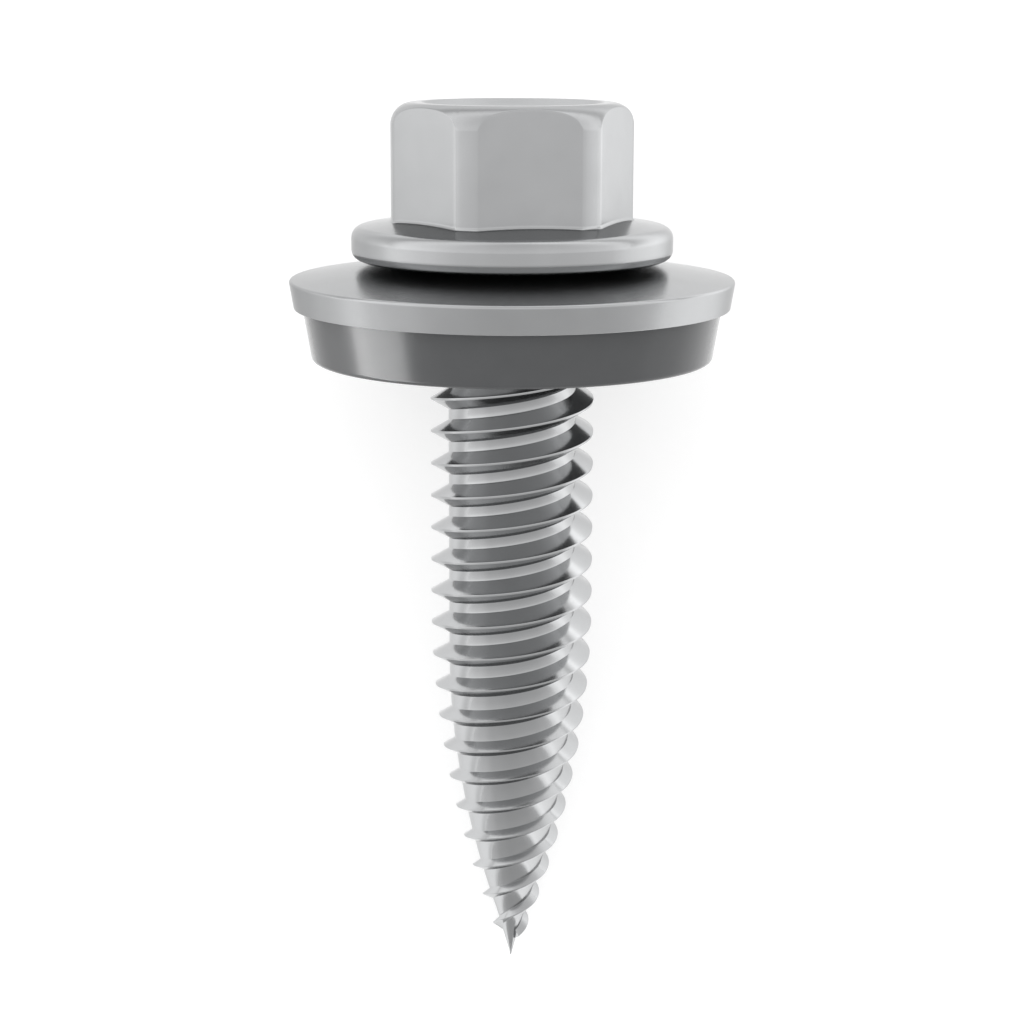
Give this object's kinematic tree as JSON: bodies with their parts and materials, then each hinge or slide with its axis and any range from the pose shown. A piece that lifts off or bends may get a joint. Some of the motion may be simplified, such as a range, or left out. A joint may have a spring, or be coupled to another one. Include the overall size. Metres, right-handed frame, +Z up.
{
  "type": "thread-forming screw",
  "caption": "Hex washer-head thread-forming screw with a twin-start thread, tapered point and captive sealing washer, lying on its side.",
  "frame": {"origin": "centre of the bounding box's bottom, on the surface that the screw lies on", "axes": "+Z up; the screw's axis lies in the YZ plane with the head towards +Y and raised, the point towards -Y"},
  "size_m": [0.016, 0.032, 0.0155],
  "materials": {
    "screw_steel": "bright zinc-plated steel, satin",
    "plate_steel": "bright zinc-plated sheet steel, satin",
    "seal_rubber": "dark grey EPDM rubber, matt with a faint sheen"
  },
  "bodies": {
    "screw": {"screw": "screw_steel"},
    "washer": {"washer_plate": "plate_steel", "sealing_ring": "seal_rubber"}
  },
  "joints": [
    {"name": "washer_turn", "type": "hinge", "parent": "screw", "child": "washer", "pos_m": [0, 0.00862, 0.00771], "axis": [0, 0.9579, 0.287], "continuous": true}
  ]
}
